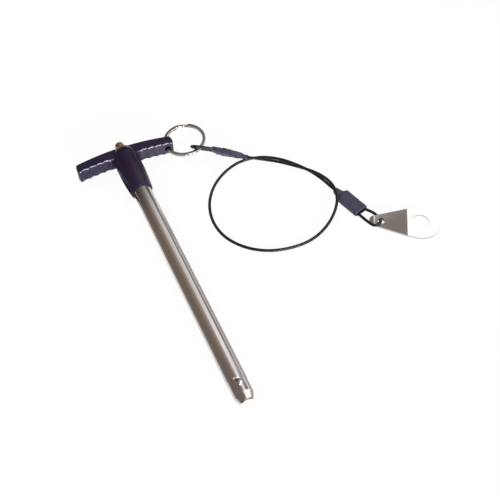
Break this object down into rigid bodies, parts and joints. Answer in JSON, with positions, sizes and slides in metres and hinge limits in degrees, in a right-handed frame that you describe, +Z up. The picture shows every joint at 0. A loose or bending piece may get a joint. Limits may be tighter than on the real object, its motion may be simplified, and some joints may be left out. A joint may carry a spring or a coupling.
{
  "type": "ball lock pin",
  "caption": "T-handle quick-release pin with spring-loaded locking balls, a push button and a wire-rope lanyard ending in a flat tab.",
  "frame": {"origin": "on the pin's axis at the handle's front face, where the 12 mm shank starts", "axes": "-Y along the shank towards the tip (pitched down half a degree as the pin lies), +X along the crossbar towards its ring, +Z up from the surface that the pin lies on"},
  "size_m": [0.2004, 0.2095, 0.0173],
  "materials": {
    "shank_steel": "ground and polished",
    "ball_steel": "polished",
    "inner_steel": "turned",
    "spring_steel": "drawn",
    "button_brass": "satin",
    "handle_plastic": "fine moulded grain",
    "ring_steel": "bright drawn wire",
    "rope": "clear-coated black strands",
    "crimp_metal": "pressed",
    "sleeve_plastic": "satin shrink tube",
    "tab_steel": "rolled sheet"
  },
  "bodies": {
    "pin": {"handle": "handle_plastic", "shank": "shank_steel", "spring_seat": "inner_steel", "return_spring": "spring_steel", "retaining_collar": "inner_steel"},
    "plunger": {"button": "button_brass", "spindle": "inner_steel"},
    "upper_ball": {"ball_upper": "ball_steel"},
    "lower_ball": {"ball_lower": "ball_steel"},
    "lanyard": {"split_ring": "ring_steel", "lanyard_cord": "rope", "ferrule_ring_end": "crimp_metal", "sleeve_ring_end": "sleeve_plastic", "ferrule_tab_end": "crimp_metal", "sleeve_tab_end": "sleeve_plastic"},
    "tab_plate": {"tab": "tab_steel"}
  },
  "joints": [
    {"name": "button_press", "type": "slide", "parent": "pin", "child": "plunger", "axis": [0, -1, -0.0097], "range_m": [0, 0.0045], "stiffness_N_per_m": 1500, "deforming": ["return_spring"]},
    {"name": "upper_ball_travel", "type": "slide", "parent": "pin", "child": "upper_ball", "axis": [0, 0.0097, -1], "range_m": [0, 0.00093]},
    {"name": "lower_ball_travel", "type": "slide", "parent": "pin", "child": "lower_ball", "axis": [0, -0.0097, 1], "range_m": [0, 0.00093]},
    {"name": "ring_swing", "type": "hinge", "parent": "pin", "child": "lanyard", "pos_m": [0.0289, 0.03183, 0.00031], "axis": [0, -1, -0.0097], "range_deg": [-110, 110]},
    {"name": "tab_swing", "type": "hinge", "parent": "lanyard", "child": "tab_plate", "pos_m": [0.1304, -0.0829, -0.00509], "axis": [0.1339, -0.0808, 0.9877], "range_deg": [-20, 20]}
  ],
  "couplings": [
    {"joint": "upper_ball_travel", "follows": "button_press", "ratio": 0.20667},
    {"joint": "lower_ball_travel", "follows": "button_press", "ratio": 0.20667}
  ]
}
